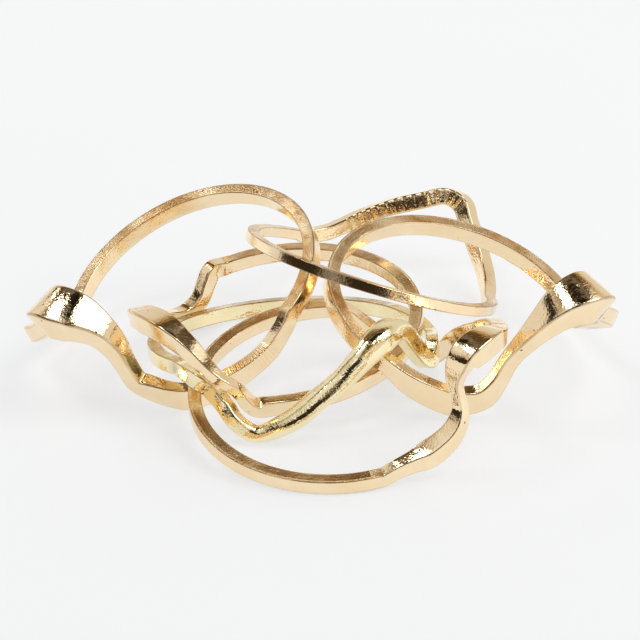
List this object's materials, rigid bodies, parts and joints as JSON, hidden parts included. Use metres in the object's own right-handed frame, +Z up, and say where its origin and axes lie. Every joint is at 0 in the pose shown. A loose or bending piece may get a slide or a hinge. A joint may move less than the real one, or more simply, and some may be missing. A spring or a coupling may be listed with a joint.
{
  "type": "puzzle ring",
  "caption": "Puzzle ring come undone: slim gold bands with waved heads, linked through each other and lying in a low heap.",
  "frame": {"origin": "on the table, under the middle of the heap's bounding box", "axes": "+Z up from the table, +X along the heap's long side from one wing to the other, -Y towards the front band and the viewer"},
  "size_m": [0.0424, 0.036, 0.0113],
  "materials": {
    "warm_gold": "polished rose-tinted yellow gold with brushed edges",
    "pale_gold": "polished pale green-tinted gold"
  },
  "bodies": {
    "root": {"left_wing_band": "warm_gold", "right_wing_band": "warm_gold", "crook_band": "warm_gold", "wave_band": "pale_gold", "front_band": "warm_gold", "rear_band": "warm_gold"}
  },
  "joints": []
}
